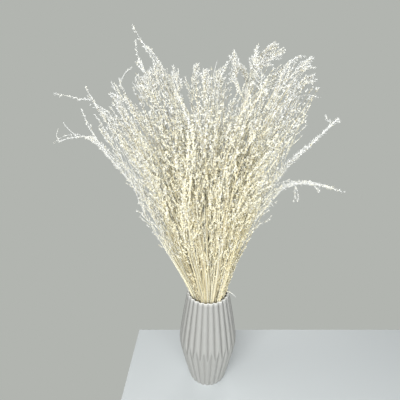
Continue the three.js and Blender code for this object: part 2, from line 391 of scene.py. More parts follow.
vase_rows_count, vase_columns = vase_grid.shape[:2]
vase_corners = np.concatenate([vase_grid.reshape(-1, 3), [[0, 0, 0], [0, 0, FLOOR]]])
foot_pole, floor_pole = len(vase_corners) - 2, len(vase_corners) - 1
first_ring = np.arange(vase_columns)
last_ring = first_ring + (vase_rows_count - 1) * vase_columns
# The rim and groove values make the ceramic paler on the rim, partly as a painted highlight, and darker in
# the grooves, partly as painted shade.
rim_closeness = np.clip(1 - (VASE_HEIGHT - vase_corners[:, 2]) / PALE_RIM, 0, 1)
upper_groove = off_ridge(vase_angles)
lower_groove = LOW_GROOVE_SHARE * (1 - upper_groove)
groove_closeness = np.where(vase_heights < crease_height(vase_angles), lower_groove, upper_groove)
vase = make_piece(
    "vase_pleated",
    vase_corners,
    np.concatenate([fan_faces(foot_pole, first_ring[::-1]), fan_faces(floor_pole, last_ring)]),
    {"rim": rim_closeness, "groove": np.append(groove_closeness, [POLE_GROOVE, POLE_GROOVE])},
    grid_faces(vase_rows_count, vase_columns),
    smooth=True,
)
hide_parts("vase")
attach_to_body(vase, "root")
print("vase triangles:", triangle_count(vase))

# %% [markdown]
# ## Ceramic
#
# Matt ceramic is not one flat grey. The rim is paler, partly because the glaze runs thin there and
# partly as a painted highlight, and the ridges are paler than the grooves. A narrow darker line along
# each groove is partly glaze that settles there and partly painted shade. The glaze carries fine specks
# and a grain that can just be seen. The groove and rim values come from the mesh, and noise on Object
# coordinates gives the specks.

# %% Ceramic material
GLAZE = (0.275, 0.277, 0.264)
# The groove colour is partly glaze that settles in the grooves and partly painted shade.
GLAZE_AND_SHADE_IN_GROOVE = (0.185, 0.185, 0.175)
# The rim colour is partly thinner glaze and partly a painted highlight.
GLAZE_AND_HIGHLIGHT_ON_RIM = (0.6, 0.6, 0.58)
SPECK = (0.21, 0.205, 0.185)
CLOUD = {"Scale": 45, "Detail": 3}
GRAIN = {"Scale": 1400, "Detail": 2}
GRAIN_BUMP = {"Strength": 0.25, "Distance": 0.2 * MM}
DOTS = {"Scale": 420}
DOT_FADE = {"From Min": 0.05, "From Max": 0.16, "To Min": 0.35, "To Max": 0}
GROOVE_EDGE = {"From Min": 0.75, "From Max": 1.1}
GROOVE_CLOUD = 0.2
CERAMIC_ROUGHNESS = 0.5
ROUGHNESS_CLOUD = 0.25

ceramic, ceramic_shader, start = new_material("matt_ceramic", GLAZE)
place = start.node("ShaderNodeTexCoord", output="Object")
groove = start.node("ShaderNodeAttribute", {"attribute_name": "groove"}, output="Fac")
on_rim = start.node("ShaderNodeAttribute", {"attribute_name": "rim"}, output="Fac")
cloud = start.node("ShaderNodeTexNoise", inputs={"Vector": place, **CLOUD})
grain = start.node("ShaderNodeTexNoise", inputs={"Vector": place, **GRAIN})
bump = start.node("ShaderNodeBump", inputs={"Height": grain, **GRAIN_BUMP})
dots = start.node("ShaderNodeTexVoronoi", inputs={"Vector": place, **DOTS})
specks = start.node("ShaderNodeMapRange", inputs={"Value": dots, **DOT_FADE})
in_groove = groove + cloud * GROOVE_CLOUD
# A narrow darker line along each groove: partly glaze that settles there, partly painted shade.
settled_and_shaded = start.node("ShaderNodeMapRange", inputs={"Value": in_groove, **GROOVE_EDGE})
glaze_and_groove_shade = settled_and_shaded.mix((*GLAZE, 1), (*GLAZE_AND_SHADE_IN_GROOVE, 1))
speckled = specks.mix(glaze_and_groove_shade, (*SPECK, 1))
# The rim is painted paler: partly thin glaze, partly a painted highlight.
feed(ceramic_shader, "Base Color", on_rim.mix(speckled, (*GLAZE_AND_HIGHLIGHT_ON_RIM, 1)))
feed(ceramic_shader, "Roughness", CERAMIC_ROUGHNESS + cloud * ROUGHNESS_CLOUD)
feed(ceramic_shader, "Normal", bump)
vase.data.materials.append(ceramic)
print("ceramic nodes:", len(ceramic.node_tree.nodes))

# %% [markdown]
# ## The bunch
#
# The stems stand side by side in the neck, where a sunflower spiral fills the round opening evenly, and
# each leans away from the middle above it. This is the rule that placed the solids, so a finer spray
# that follows it lies where its solid lies. Some sprays stray out of the fan. A smooth curve through a
# few listed points carries each of them, and it goes to the spray that comes nearest to it.
# `from` is the share of its rise where it leaves the fan, `stems` says how many of its stems go along
# and `short` how far the shorter of them get, `spread` and `branch` are in millimetres, and `bloom`
# enlarges its florets. Forks are strands that leave a spray, given by points as (sideways, up): short
# ones, long ones down the sides, plumes at the top, a stalk over the rim and bare ones.

# %% The bunch: its measures
SEED = 7
DRAW_NUMBERS = {"length": 1, "sway in x": 2, "sway in y": 3, "sides": 5, "plume": 6}
ITEM_STEP = 12.9898
PURPOSE_STEP = 78.233
SINE_SIZE = 43758.5453
GOLDEN_ANGLE = math.pi * (3 - math.sqrt(5))
SPIRAL_TURN = 0.45
SPRAYS = len(spray_nodes)
NECK_RADIUS = 29.5 * MM
FLOOR_GAP = 0.3 * MM
STEM_LENGTH = 400 * MM
LENGTH_SPREAD = 0.15
LONG_SHARE = 0.75
OUTER_SHORTER = 0.05
HALFWAY_TALLER = {"left": 0, "right": 0.09}
BEND_HEIGHT = 203 * MM
BEND_ROUNDING = 9 * MM
LEAN = {"left": 0.52, "right": 0.345, "front": 0.24, "back": 0.2}
BOW = {"left": -4 * MM, "right": -6 * MM, "front": 14 * MM, "back": 10 * MM}
TUCK = {"left": 14 * MM, "right": 2 * MM, "front": 0, "back": 0}
NOD = {"left": -14 * MM, "right": 34 * MM}
WANDER = 8 * MM
LEAD_IN = 0.12
LOOK_AHEAD = 0.1
STRAYS = [
    {"from": 0.66, "stems": 5, "short": (0.3, 0.8), "spread": 6, "branch": 16,
     "through": [(-75, 0, 596), (-99, 0, 628), (-116, 2, 657)]},
    {"from": 0.62, "stems": 2, "short": (0.3, 0.8), "spread": 2, "branch": 8,
     "through": [(-97, -6, 580), (-106, -6, 606), (-109, -6, 634)]},
    {"from": 0.55, "stems": 4, "short": (0.15, 0.5), "spread": 5, "branch": 14,
     "through": [(-170, 6, 534), (-205, 6, 551), (-246, 4, 560)]},
    {"from": 0.55, "stems": 5, "short": (0.45, 0.95), "spread": 8, "branch": 24,
     "through": [(-151, -8, 512), (-172, -10, 540), (-188, -12, 571)]},
    {"from": 0.5, "stems": 5, "short": (0.45, 0.9), "spread": 6, "branch": 12, "bloom": 1.4,
     "through": [(-172, 10, 468), (-205, 10, 492), (-252, 8, 484)]},
    {"from": 0.58, "stems": 3, "short": (0.2, 0.7), "spread": 4, "branch": 13,
     "through": [(-140, 14, 540), (-160, 16, 562)]},
    {"from": 0.5, "stems": 2, "short": (0.3, 0.6), "spread": 2, "branch": 6,
     "through": [(-152, -14, 452), (-192, -20, 520)]},
    {"from": 0.42, "stems": 5, "short": (0.6, 0.97), "spread": 4.5, "branch": 10, "bloom": 1.7,
     "through": [(119, -4, 436), (158, -6, 479), (204, -8, 527)]},
    {"from": 0.36, "stems": 5, "short": (0.5, 0.97), "spread": 4, "branch": 9, "bloom": 1.7,
     "through": [(96, -6, 382), (124, -8, 412), (158, -10, 420), (193, -12, 413), (230, -12, 402)]},
    {"from": 0.62, "stems": 2, "short": (0.3, 0.8), "spread": 1.5, "branch": 6,
     "through": [(128, 9, 552), (142, 9, 590), (166, 9, 597)]},
    {"from": 0.55, "stems": 3, "short": (0.3, 0.8), "spread": 3, "branch": 10,
     "through": [(109, 16, 530), (149, 18, 556), (178, 20, 552)]},
    {"from": 0.72, "stems": 5, "short": (0.4, 0.95), "spread": 9, "branch": 26,
     "through": [(66, 6, 594), (106, 8, 628)]},
    {"from": 0.7, "stems": 4, "short": (0.4, 0.95), "spread": 7, "branch": 22,
     "through": [(100, -10, 566), (117, -12, 604), (138, -12, 610)]},
    {"from": 0.72, "stems": 5, "short": (0.4, 0.95), "spread": 8, "branch": 24,
     "through": [(12, 0, 572), (34, -2, 614)]},
    {"from": 0.7, "stems": 5, "short": (0.4, 0.95), "spread": 9, "branch": 26,
     "through": [(60, 14, 570), (80, 16, 604)]},
    {"from": 0.5, "stems": 2, "short": (0.2, 0.6), "spread": 9, "branch": 14,
     "through": [(-24, -128, 500), (-40, -158, 560)]},
    {"from": 0.5, "stems": 2, "short": (0.2, 0.6), "spread": 9, "branch": 14,
     "through": [(24, 116, 520), (36, 138, 584)]},
]
FORKS = [
    [(-120, 586), (-108, 600), (-103, 603)],
    [(-126, 556), (-129, 570), (-120, 586), (-112, 593)],
    [(-119, 504), (-134, 528), (-146, 546)],
    [(-120, 542), (-134, 557), (-142, 574)],
    [(-156, 455), (-182, 488), (-208, 499), (-232, 494), (-247, 484)],
    [(-176, 496), (-187, 516), (-194, 536)],
    [(-70, 284), (-78, 294), (-84, 306)],
    [(73, 608), (84, 619), (94, 630)],
    [(61, 598), (69, 615), (71, 627)],
    [(60, 596), (67, 614), (69, 626)],
    [(128, 556), (133, 574), (146, 582), (154, 581)],
    [(180, 502), (188, 514), (183, 519), (180, 526)],
    [(188, 512), (194, 518), (202, 517)],
    [(96, 386), (108, 411), (124, 420), (136, 421), (148, 420)],
    [(142, 414), (148, 402), (150, 387)],
    [(147, 404), (143, 386)],
    [(168, 420), (176, 411), (184, 405)],
    [(188, 414), (202, 411)],
    [(74, 376), (85, 380), (109, 376), (117, 380)],
    [(84, 350), (93, 356), (108, 364)],
    [(66, 318), (74, 325), (94, 339), (105, 344), (112, 353)],
]
LONG_FORKS = [
    [(-121, 389), (-141, 432), (-161, 472), (-175, 494), (-181, 507)],
    [(-109, 404), (-129, 442), (-145, 480), (-159, 507), (-172, 530)],
    [(-100, 413), (-115, 455), (-128, 491), (-140, 519), (-151, 542)],
    [(-92, 421), (-101, 464), (-110, 504), (-119, 534), (-127, 554)],
    [(-131, 407), (-149, 435), (-167, 462), (-178, 477)],
    [(-97, 504), (-108, 528), (-123, 546), (-131, 555), (-139, 572)],
    [(-127, 513), (-139, 534), (-147, 546), (-159, 558)],
    [(87, 447), (95, 472), (100, 496), (101, 519)],
]
PLUME_FORKS = [
    [(-46, 535), (-48, 562), (-53, 592)],
    [(-30, 535), (-28, 565), (-20, 600)],
    [(-14, 535), (-10, 562), (-8, 586)],
    [(-62, 535), (-70, 568), (-78, 603)],
    [(-82, 540), (-86, 560), (-92, 588)],
    [(-58, 535), (-60, 560), (-66, 584)],
    [(8, 540), (12, 566), (14, 590)],
    [(43, 545), (39, 581), (34, 614)],
    [(65, 545), (57, 575), (49, 598)],
    [(83, 545), (70, 581), (62, 606)],
    [(-91, 537), (-95, 564), (-97, 588)],
    [(-100, 530), (-105, 558), (-108, 579)],
    [(-78, 543), (-83, 570), (-83, 598)],
    [(43, 581), (66, 603), (82, 617), (92, 625)],
    [(59, 576), (71, 594), (87, 607), (106, 618)],
    [(83, 542), (103, 567), (122, 589), (141, 605)],
    [(70, 543), (87, 570), (104, 589), (117, 600)],
    [(104, 519), (117, 548), (135, 571), (151, 583)],
]
STALKS = [
    [(26, 206), (34, 203.5), (44, 199), (54, 189)],
]
BARE_FORKS = [
    [(-221, 499), (-232, 507), (-237, 516)],
    [(-245, 485), (-250, 494), (-245, 506)],
    [(-131, 561), (-128, 572), (-120, 586), (-110, 592)],
    [(3, 566), (5, 582), (10, 606)],
]
print("strays:", len(STRAYS))

# %% The bunch: where each spray runs
def draw(item, purpose):
    """A number from 0 to 1 for an item and a purpose, always the same one: the end of a large sine."""
    wave = np.sin(item * ITEM_STEP + DRAW_NUMBERS[purpose] * PURPOSE_STEP + SEED) * SINE_SIZE
    return wave - np.floor(wave)


def make_spray(k):
    """One spray's course: its place in the neck, its slope, bow, tuck and nod, and how far it rises."""
    radius, angle = math.sqrt((k + 0.5) / SPRAYS), k * GOLDEN_ANGLE + SPIRAL_TURN
    disc = np.array([radius * math.cos(angle), radius * math.sin(angle)])
    sides = ("left" if disc[0] < 0 else "right", "front" if disc[1] < 0 else "back")
    slope, bow, tuck = (disc * [table[side] for side in sides] for table in (LEAN, BOW, TUCK))
    halfway = 4 * abs(disc[0]) * (1 - abs(disc[0]))
    nod = np.array([NOD[sides[0]] * halfway, 0])
    taller = (1 - OUTER_SHORTER * (disc @ disc)) * (1 + HALFWAY_TALLER[sides[0]] * halfway)
    length = STEM_LENGTH * taller * (1 + LENGTH_SPREAD * (draw(k, "length") - LONG_SHARE))
    course = {"slope": slope, "bow": bow, "tuck": tuck, "nod": nod}
    rise = length / math.sqrt(1 + slope @ slope)
    return {"k": k, "disc": disc, "rise": rise, "stray": None, **course}


def fan_points(spray, share):
    """Points of a course in the fan at shares of its rise above the rim, negative in the vase.

    A slope from the bend upwards, a bow that grows with the share's square, a tuck that draws it in
    halfway up, a nod sideways near its tip, and a slow sway.
    """
    share = np.asarray(share, float)[..., None]
    height = VASE_HEIGHT + share * spray["rise"]
    above = height - BEND_HEIGHT
    ramp = (above + np.hypot(above, BEND_ROUNDING)) / 2
    free = np.maximum(share, 0)
    half = 4 * free**2 * (1 - free**2)
    phases = np.array([draw(spray["k"], "sway in x"), draw(spray["k"], "sway in y")])
    sway = WANDER * free * np.sin(2 * np.pi * (free + phases))
    level = NECK_RADIUS * spray["disc"] + spray["slope"] * ramp + spray["bow"] * free**2
    level = level - spray["tuck"] * half + spray["nod"] * free**4 + sway
    return np.concatenate([level, height], axis=-1)


def curve_through(knots, part):
    """Points at parts 0 to 1 of a smooth curve through knots, whose first and last only steer it.

    Each span is the cubic that passes its two knots with the slope between their neighbours.
    """
    spans = len(knots) - 3
    place = np.clip(part, 0, 1) * spans
    span = np.minimum(place.astype(int), spans - 1)
    u = (place - span)[..., None]
    a, b, c, d = (knots[span + i] for i in range(4))
    bend, twist = (2 * a - 5 * b + 4 * c - d) / 2, (3 * b - a - 3 * c + d) / 2
    return b + u * (c - a) / 2 + u**2 * bend + u**3 * twist


def points_at(spray, share):
    """Points of a spray's middle line: in the fan, or on its stray's curve once it has left the fan."""
    points = fan_points(spray, share)
    if spray["stray"] is None:
        return points
    start = spray["stray"]["from"]
    strayed = curve_through(spray["stray"]["knots"], (share - start) / (1 - start))
    return np.where((share > start)[..., None], strayed, points)


def make_bunch():
    """All sprays. Each stray is given to the spray of the fan that comes nearest to its first point."""
    sprays = [make_spray(k) for k in range(SPRAYS)]
    for stray in STRAYS:
        start, passed = stray["from"], np.array(stray["through"]) * MM
        straight = [spray for spray in sprays if spray["stray"] is None]
        near = [np.linalg.norm(fan_points(spray, start + LOOK_AHEAD) - passed[0]) for spray in straight]
        owner = straight[int(np.argmin(near))]
        leads = fan_points(owner, np.array([start - LEAD_IN, start]))
        knots = np.concatenate([leads, passed, [2 * passed[-1] - passed[-2]]])
        owner["stray"] = {**stray, "knots": knots}
    return sprays


bunch = make_bunch()
bunch_tips = np.array([points_at(spray, np.ones(1))[0] for spray in bunch])
print("highest tip:", bunch_tips[:, 2].max(), "widest:", bunch_tips[:, 0].min(), bunch_tips[:, 0].max())

# %% [markdown]
# ## One spray
#
# Close up, a spray is several thin straw stems that lie together at the bottom and part a little higher
# up. Each carries long side branches that leave it at a sharp angle and run almost beside it, and every
# branch is set with tiny pointed florets, so it looks like a beaded line. Hair particles would give
# this quickly, but they are lost when the model is saved as a mesh. So every stem and branch is a slim
# closed tube with three sides, and every arm of a floret is a closed pyramid of four triangles.

# %% Arrays that grow together
def unit(vectors):
    """The vectors, each at length one."""
    return vectors / np.linalg.norm(vectors, axis=-1, keepdims=True)


def side_directions(along):
    """Two directions square to each other and to along: one from the axis that along leans on least."""
    least = np.eye(3)[np.argmin(np.abs(along), axis=-1)]
    first = unit(np.cross(along, least))
    return first, np.cross(along, first)


def join(parts):
    """One (points, triangles, bleach and painted light) set from several: corner numbers rise by the
    corners before.
    """
    points, triangles, bleached = zip(*parts)
    before = np.cumsum([0] + [len(corners) for corners in points])
    raised = [faces + start for faces, start in zip(triangles, before)]
    return np.concatenate(points), np.concatenate(raised), np.concatenate(bleached)


print("array helpers ready")

# %% Tubes along many paths at once
TUBE_SIDES = 3


def tube_triangles(rings):
    """Triangles of one tube: two for each side of each span, and a fan to the pole at each end."""
    ring, side = np.meshgrid(np.arange(rings - 1), np.arange(TUBE_SIDES), indexing="ij")
    low, beside = ring * TUBE_SIDES + side, ring * TUBE_SIDES + (side + 1) % TUBE_SIDES
    first = np.stack([low, beside, beside + TUBE_SIDES], axis=-1).reshape(-1, 3)
    second = np.stack([low, beside + TUBE_SIDES, low + TUBE_SIDES], axis=-1).reshape(-1, 3)
    around = np.arange(TUBE_SIDES)
    foot = fan_faces(rings * TUBE_SIDES, around[::-1])
    tip = fan_faces(rings * TUBE_SIDES + 1, around + (rings - 1) * TUBE_SIDES)
    return np.concatenate([first, second, foot, tip])


def tubes(paths, thick, slim):
    """Closed tubes round paths (tube, ring, xyz), whose last point is the pointed tip.

    Each ring but the last is three corners square to the path, and the radius goes from thick to slim.
    """
    rings = paths.shape[1] - 1
    radii = np.linspace(thick, slim, rings)[:, None, None]
    along = unit(np.gradient(paths, axis=1))[:, :rings]
    first, _ = side_directions(unit(paths[:, -1] - paths[:, 0]))
    across = unit(np.cross(along, first[:, None]))
    over = np.cross(along, across)
    turn = np.arange(TUBE_SIDES) / TUBE_SIDES * 2 * np.pi
    ring = across[:, :, None] * np.cos(turn)[:, None] + over[:, :, None] * np.sin(turn)[:, None]
    corners = paths[:, :rings, None] + radii * ring
    points = np.concatenate([corners.reshape(len(paths), -1, 3), paths[:, :1], paths[:, -1:]], axis=1)
    start = np.arange(len(paths))[:, None, None] * points.shape[1]
    return points.reshape(-1, 3), (tube_triangles(rings) + start).reshape(-1, 3)


print("a tube of two rings has", len(tube_triangles(2)), "triangles")

# %% Arms of florets: pyramids
ARM_SIDES = 3
ARM_FACES = np.array([[0, 2, 1], [0, 1, 3], [1, 2, 3], [2, 0, 3]])


def floret_arms(seats, directions, lengths, widths):
    """Pyramids: three corners round each seat, and a tip at the arm's length along its direction."""
    first, second = side_directions(directions)
    turn = np.arange(ARM_SIDES) / ARM_SIDES * 2 * np.pi
    around = first[:, None] * np.cos(turn)[:, None] + second[:, None] * np.sin(turn)[:, None]
    corners = seats[:, None] + around * widths[:, None, None]
    tips = seats + directions * lengths[:, None]
    points = np.concatenate([corners, tips[:, None]], axis=1)
    start = np.arange(len(seats))[:, None, None] * (ARM_SIDES + 1)
    return points.reshape(-1, 3), (ARM_FACES + start).reshape(-1, 3)


print("an arm of a floret has", len(ARM_FACES), "triangles")

# %% [markdown]
# ## Stems
#
# Each stem keeps its own side of the spray's middle line, at a distance that grows on the way up. The
# room in the pleated vase depends on the angle, so a corner that would touch the wall is drawn in.

# %% The stems of a spray
PLUMED_STEMS = 5
BARE_STEMS = 10
STEM_RINGS = 26
BARE_RINGS = 10
STEM_RADIUS = 0.5 * MM
SPREAD_HEIGHTS = [6 * MM, 200 * MM, 216 * MM, 270 * MM, 500 * MM]
SPREADS = [3 * MM, 5 * MM, 6 * MM, 6 * MM, 17 * MM]
STRAY_TIP_SPREAD = 0.5 * MM
CLOSING_SHARES = [0, 0.35, 1]
STEM_TURN = 1.6
HIDDEN_RINGS = [FLOOR + FLOOR_GAP, 120 * MM, 196 * MM]
ROOM_ABOVE_RIM = 2


def ring_shares(spray, ends, rings):
    """Shares of the rise where stems get their rings: a few in the vase, the rest evenly above it."""
    hidden = (np.array(HIDDEN_RINGS) - VASE_HEIGHT) / spray["rise"] * np.ones((len(ends), 1))
    above = ends[:, None] * np.linspace(0, 1, rings - len(HIDDEN_RINGS))
    return np.concatenate([hidden, above], axis=1)


def stem_paths(spray, shares, spots, sides, strays=np.zeros(1, bool)):
    """Paths of a spray's stems (stem, ring, xyz): each keeps its own side of the middle line.

    The distance from the middle line grows from the floor to the plume, and the side turns slowly. The
    stems marked as strays follow the stray's curve and close up on it, and the others stay in the fan.
    Inside the vase every stem is kept off its wall, and that room widens quickly above the rim.
    """
    course = np.where(strays[:, None, None], points_at(spray, shares), fan_points(spray, shares))
    along = unit(np.gradient(course, axis=1))
    azimuth = math.atan2(spray["disc"][1], spray["disc"][0])
    level = np.array([-math.sin(azimuth), math.cos(azimuth), 0])
    across = unit(level - along * (along @ level)[..., None])
    out = np.cross(across, along)
    spread = np.interp(VASE_HEIGHT + shares * spray["rise"], SPREAD_HEIGHTS, SPREADS)
    if spray["stray"]:
        start = spray["stray"]["from"]
        left = np.clip((shares - start) / (1 - start), 0, 1)
        closed = [1, spray["stray"]["spread"] * MM / SPREADS[-1], STRAY_TIP_SPREAD / SPREADS[-1]]
        spread = np.where(strays[:, None], spread * np.interp(left, CLOSING_SHARES, closed), spread)
    turn = sides[:, None] + STEM_TURN * shares
    offset = across * np.cos(turn)[..., None] + out * np.sin(turn)[..., None]
    paths = course + offset * (spread * spots[:, None])[..., None]
    angle, height = np.arctan2(paths[..., 1], paths[..., 0]) + PLEAT_TURN, paths[..., 2]
    room = inner_radius(angle, np.minimum(height, VASE_HEIGHT)) - STEM_RADIUS
    room = room + ROOM_ABOVE_RIM * np.maximum(height - VASE_HEIGHT, 0)
    held = np.minimum(1, room / np.linalg.norm(paths[..., :2], axis=-1))
    return paths * np.stack([held, held, np.ones_like(held)], axis=-1)


print("stems in all:", SPRAYS * (PLUMED_STEMS + BARE_STEMS))

# %% [markdown]
# ## Side branches and florets
#
# Branches leave their stem at a sharp angle and bend back along it. Low at the sides of the fan they
# are short, which keeps its outline clean. Florets hug a branch at the sides and the top of the fan,
# and stand open in its heart, which fills the bunch.

# %% The side branches of a stem
PLUME_STARTS = {"left": 254 * MM, "right": 217 * MM}
PLUME_START_SPREAD = 34 * MM
LOWEST_PLUME = 208 * MM
BRANCHES_PER_STEM = 24
SIDE_DISC = 0.55
BRANCH_HEIGHTS = [260 * MM, 420 * MM]
BRANCH_LENGTHS = {"middle": [34 * MM, 40 * MM], "side": [12 * MM, 40 * MM]}
BRANCH_LEAN = math.radians(25)
BRANCH_RADIUS = 0.26 * MM
BRANCH_RINGS = 4
BRANCH_RETURN = 0.35
BRANCH_DROOP = 0.3
BRANCH_SIZES = (0.65, 1.15)
BRANCH_LEANS = (0.5, 1.6)
CROWDING_UP = 0.65
TIP_SHORTER = 0.85
TIP_POWER = 2.5


def along_paths(paths, which, part):
    """Points and directions at parts 0 to 1 of the paths with these numbers, straight between corners."""
    place = part * (paths.shape[1] - 1)
    low = np.minimum(place.astype(int), paths.shape[1] - 2)
    step = paths[which, low + 1] - paths[which, low]
    return paths[which, low] + step * (place - low)[:, None], unit(step)


def branches_on(path, start, longest, count, random):
    """Branches of one stem (branch, ring, xyz): each leaves at a lean, bends back and droops a little.

    They start at a part of the path, are at most longest (a length, or one for each ring of the path),
    and shrink towards the stem's tip, so that the plume ends in a point.
    """
    spaced = ((np.arange(count) + random.uniform(0, 1, count)) / count) ** CROWDING_UP
    part = start + (1 - start) * spaced
    bases, along = along_paths(path[None], 0, part)
    first, second = side_directions(along)
    turn = random.uniform(0, 2 * np.pi, count)[:, None]
    away = first * np.cos(turn) + second * np.sin(turn)
    most = np.interp(part, np.linspace(0, 1, len(path)), longest * np.ones(len(path)))
    length = most * (1 - TIP_SHORTER * spaced**TIP_POWER) * random.uniform(*BRANCH_SIZES, count)
    lean = (BRANCH_LEAN * random.uniform(*BRANCH_LEANS, count))[:, None, None]
    reach = np.linspace(0, 1, BRANCH_RINGS)[:, None]
    sideways = away[:, None] * np.tan(lean) * (reach - BRANCH_RETURN * reach**2)
    weight = (BRANCH_DROOP * random.uniform(0, 1, count))[:, None, None]
    droop = np.array([0, 0, -1]) * weight * reach**2
    return bases[:, None] + length[:, None, None] * (along[:, None] * reach + sideways + droop)


print("branches in all:", SPRAYS * PLUMED_STEMS * BRANCHES_PER_STEM)

# %% The florets of the branches
FAN_AT_RIM = 50 * MM
FAN_WIDENING = 0.33
OUTER_SIDES = (0.5, 1)
OUTER_TOP = (500 * MM, 610 * MM)
FLORETS_PER_BRANCH = {"inner": 12, "outer": 8}
OUTER_DISC = 0.75
ARMS_PER_FLORET = 2
ARM_LENGTH = 2.8 * MM
ARM_WIDTH = 0.48 * MM
ARM_SPLAY = 0.95
ARM_LENGTHS = (0.6, 1.25)
ARM_WIDTHS = (0.75, 1.25)
INNER_WIDER = 0.7
INNER_SPLAY = 1.7


def outward(points):
    """How far out points lie, seen from the front: half by their share of the width, half by height."""
    half_width = FAN_AT_RIM + FAN_WIDENING * np.maximum(points[:, 2] - VASE_HEIGHT, 0)
    sideways = np.interp(np.abs(points[:, 0]) / half_width, OUTER_SIDES, (0, 1))
    return (sideways + np.interp(points[:, 2], OUTER_TOP, (0, 1))) / 2


def florets_on(paths, first, count, random, bloom=1):
    """Arms of the florets that sit along each path (path, ring, xyz) from its part first to its tip.

    Long paths get more than the usual count and short ones fewer. At the sides and top of the fan the
    arms hug the path, in its heart they are fuller and more open, and all their sizes grow with bloom.
    """
    reach = np.linalg.norm(paths[:, -1] - paths[:, 0], axis=1)
    path = np.repeat(np.arange(len(paths)), np.round(count * reach / reach.mean()).astype(int))
    on_path = along_paths(paths, path, random.uniform(first, 1, len(path)))
    seats, heading = (np.repeat(part, ARMS_PER_FLORET, axis=0) for part in on_path)
    inner = np.clip(1 - 2 * outward(seats), 0, 1)
    splay = (ARM_SPLAY + INNER_SPLAY * inner)[:, None] * unit(random.normal(size=heading.shape))
    lengths = bloom * ARM_LENGTH * random.uniform(*ARM_LENGTHS, len(seats))
    widths = bloom * ARM_WIDTH * (1 + INNER_WIDER * inner) * random.uniform(*ARM_WIDTHS, len(seats))
    return floret_arms(seats, unit(heading + splay), lengths, widths)


print("florets on a branch:", FLORETS_PER_BRANCH)

# %% [markdown]
# ## Forks
#
# A fork starts on the spray that passes nearest to its first point. Depth counts for little in that
# search, because the points say nothing about it.

# %% Forks: side strands that leave a spray
FORK_RINGS = 14
FORK_SEARCH = 60
FORK_SLIM = 0.6
FORK_FLORETS_FROM = 0.1
DEPTH_WEIGHT = 0.2
FORK_KINDS = {
    "strand": {"strands": FORKS, "thick": 0.35 * MM, "branches": 5, "longest": 8 * MM, "florets": 16},
    "long": {"strands": LONG_FORKS, "thick": 0.4 * MM, "branches": 20, "longest": 13 * MM, "florets": 30},
    "plume": {"strands": PLUME_FORKS, "thick": 0.4 * MM, "branches": 28, "longest": 28 * MM, "florets": 6},
    "stalk": {"strands": STALKS, "thick": 1.3 * MM},
    "bare": {"strands": BARE_FORKS, "thick": 0.9 * MM},
}


def attach(strand):
    """The number of the spray nearest to a strand's first point, and the strand's curve at its depth."""
    points = np.array([(x, 0, z) for x, z in strand]) * MM
    lines = [points_at(spray, np.linspace(0, 1, FORK_SEARCH)) for spray in bunch]
    offs = [line - points[0] for line in lines]
    gaps = [np.hypot(off[:, 0], off[:, 2]) + DEPTH_WEIGHT * np.abs(off[:, 1]) for off in offs]
    owner = int(np.argmin([gap.min() for gap in gaps]))
    root = lines[owner][int(np.argmin(gaps[owner]))]
    points[:, 1] = root[1]
    knots = np.concatenate([[2 * root - points[1]], [root], points[1:], [2 * points[-1] - points[-2]]])
    return owner, curve_through(knots, np.linspace(0, 1, FORK_RINGS))


fork_paths = {}
for kind, fork in FORK_KINDS.items():
    for strand in fork["strands"]:
        owner, path = attach(strand)
        fork_paths.setdefault(owner, []).append((kind, path))
print("forks:", sum(map(len, fork_paths.values())), "on sprays:", len(fork_paths))

# %% [markdown]
# ## Bleach and painted light
#
# One number on each corner says how pale the grass is there: partly its bleach, partly painted light
# and shade. It depends on the kind of part and on the height, it grows outwards, and each stem, branch
# or arm differs a little from the next. Growing outwards makes the sides and top of the fan paler,
# partly as bleach and partly as painted light on the outside of the bunch.

# %% Bleach and painted light of each corner
BLEACH_AND_LIGHT_HEIGHTS = [200 * MM, 300 * MM, 420 * MM, 520 * MM]
# High in the fan the stems' and branches' values fall almost to zero: painted shade, which shows as dark
# gaps between the top florets.
BLEACH_AND_PAINTED_LIGHT = {
    "stem": {"by_height": [0.42, 0.42, 0.34, 0.04], "outward": 0.36, "variety": 0.22},
    "branch": {"by_height": [0.46, 0.4, 0.28, 0.06], "outward": 0.36, "variety": 0.28},
    "floret": {"by_height": [0.6, 0.64, 0.72, 0.84], "outward": 0.6, "variety": 0.18},
    "fork": {"by_height": [0.5, 0.5, 0.56, 0.62], "outward": 1, "variety": 0.05},
}


def with_bleach_and_light(kind, items, arrays, random):
    """Adds each corner's bleach and painted light: by kind and height, and paler at the fan's sides and
    top, partly as painted light.

    The corners belong to this many items in equal shares, and each item has a tone of its own.
    """
    points, triangles = arrays
    look = BLEACH_AND_PAINTED_LIGHT[kind]
    tone = np.repeat(random.normal(0, look["variety"], items), len(points) // items)
    by_height = np.interp(points[:, 2], BLEACH_AND_LIGHT_HEIGHTS, look["by_height"])
    return points, triangles, np.clip(by_height + look["outward"] * outward(points) + tone, 0, 1)


def tubes_with_bleach_and_light(kind, paths, thick, slim, random):
    """Tubes round paths, with each corner's bleach and painted light."""
    return with_bleach_and_light(kind, len(paths), tubes(paths, thick, slim), random)


print("bleaching ready for", list(BLEACH_AND_PAINTED_LIGHT))

# %% [markdown]
# ## All of one spray
#
# A spray has plumed stems, bare ones among them, and more bare ones where it stands at the edge of the
# neck. Its draws come from a generator with its own seed, so every run gives the same spray.

# %% The plumed and the bare stems
SHORT_STEMS = (0.84, 1)
STRAY_TIP = 0.985
MIDDLE_SPOT = 0.02
PLUMED_SPOTS = (0.15, 1)
BARE_SPOTS = (0.3, 1)
BARE_ENDS = (0.3, 0.7)
EDGE_STEMS = 10
EDGE_SPOTS = (0.5, 1)
EDGE_ENDS = (0.15, 0.45)
EDGE_FANNING = 1.1


